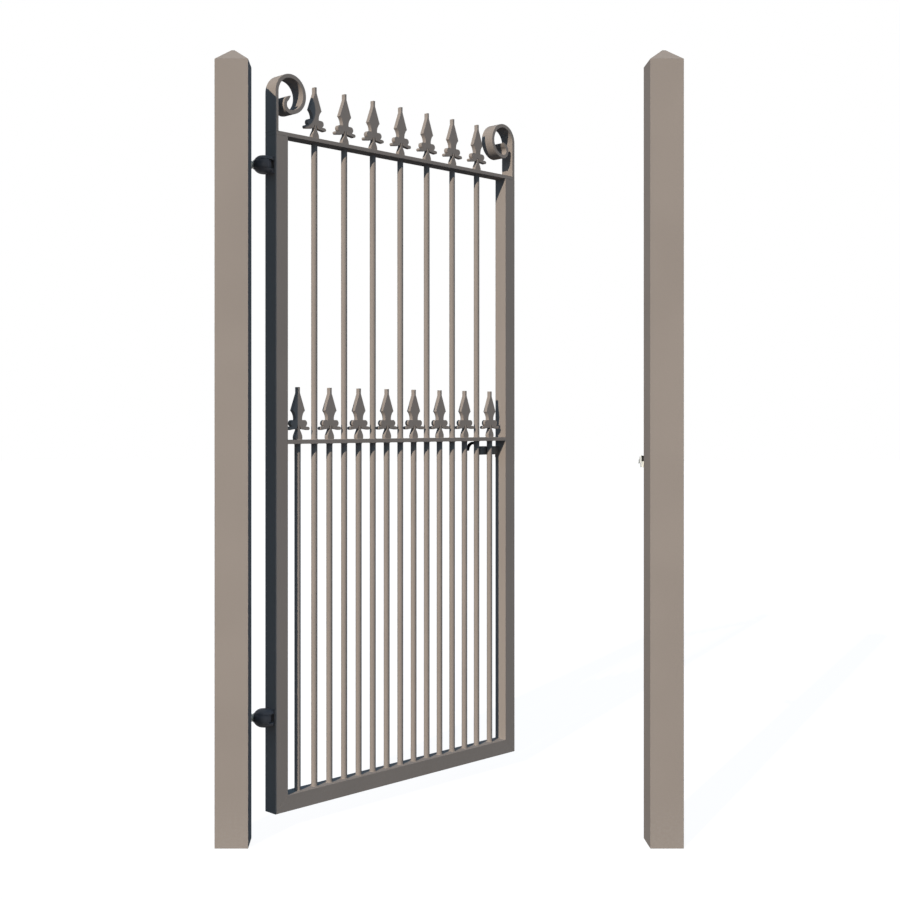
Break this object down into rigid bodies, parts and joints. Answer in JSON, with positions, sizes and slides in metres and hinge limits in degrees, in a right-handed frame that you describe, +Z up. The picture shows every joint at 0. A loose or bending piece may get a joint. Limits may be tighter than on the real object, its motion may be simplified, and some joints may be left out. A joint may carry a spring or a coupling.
{
  "type": "metal side gate",
  "caption": "Ornamental metal side gate: a spear-topped barred leaf with scrolls, hinged on a square post, with a drop latch to a second post.",
  "frame": {"origin": "middle of the hinge post's foot, on the ground", "axes": "+X across the gateway to the latch post, +Y the side that the leaf opens to, +Z up"},
  "size_m": [1.115, 0.7849, 1.9075],
  "materials": {
    "taupe_paint": "satin powder coat in a warm taupe grey",
    "hinge_steel": "dark zinc-phosphated hinge fittings",
    "black_ironwork": "satin black latch ironwork",
    "galvanised_steel": "bright galvanised steel",
    "black_rubber": "matt black rubber"
  },
  "bodies": {
    "posts": {"hinge_post": "taupe_paint", "hinge_post_cap": "taupe_paint", "latch_post": "taupe_paint", "latch_post_cap": "taupe_paint", "upper_hinge_eyebolt": "hinge_steel", "lower_hinge_eyebolt": "hinge_steel", "latch_keep": "galvanised_steel", "keep_buffer": "black_rubber"},
    "leaf": {"hinge_stile": "taupe_paint", "latch_stile": "taupe_paint", "bottom_rail": "taupe_paint", "mid_rail": "taupe_paint", "top_rail": "taupe_paint", "hinge_scroll": "taupe_paint", "latch_scroll": "taupe_paint", "upper_spearheads": "taupe_paint", "lower_spearheads": "taupe_paint", "upper_hinge_clevis": "hinge_steel", "lower_hinge_clevis": "hinge_steel", "upper_hinge_pin": "hinge_steel", "lower_hinge_pin": "hinge_steel", "latch_carrier": "black_ironwork", "full_bar_1": "taupe_paint", "full_bar_2": "taupe_paint", "full_bar_3": "taupe_paint", "full_bar_4": "taupe_paint", "full_bar_5": "taupe_paint", "full_bar_6": "taupe_paint", "full_bar_7": "taupe_paint", "dog_bar_1": "taupe_paint", "dog_bar_2": "taupe_paint", "dog_bar_3": "taupe_paint", "dog_bar_4": "taupe_paint", "dog_bar_5": "taupe_paint", "dog_bar_6": "taupe_paint", "dog_bar_7": "taupe_paint", "dog_bar_8": "taupe_paint"},
    "latch": {"latch_lever": "black_ironwork"}
  },
  "joints": [
    {"name": "gate_hinge", "type": "hinge", "parent": "posts", "child": "leaf", "pos_m": [0.068, 0.0675, 0.966], "axis": [0, 0, 1], "range_deg": [-44, 46]},
    {"name": "latch_pivot", "type": "hinge", "parent": "leaf", "child": "latch", "pos_m": [0.65138, 0.67118, 0.9302], "axis": [0.6947, -0.7193, 0], "range_deg": [0, 18]}
  ]
}
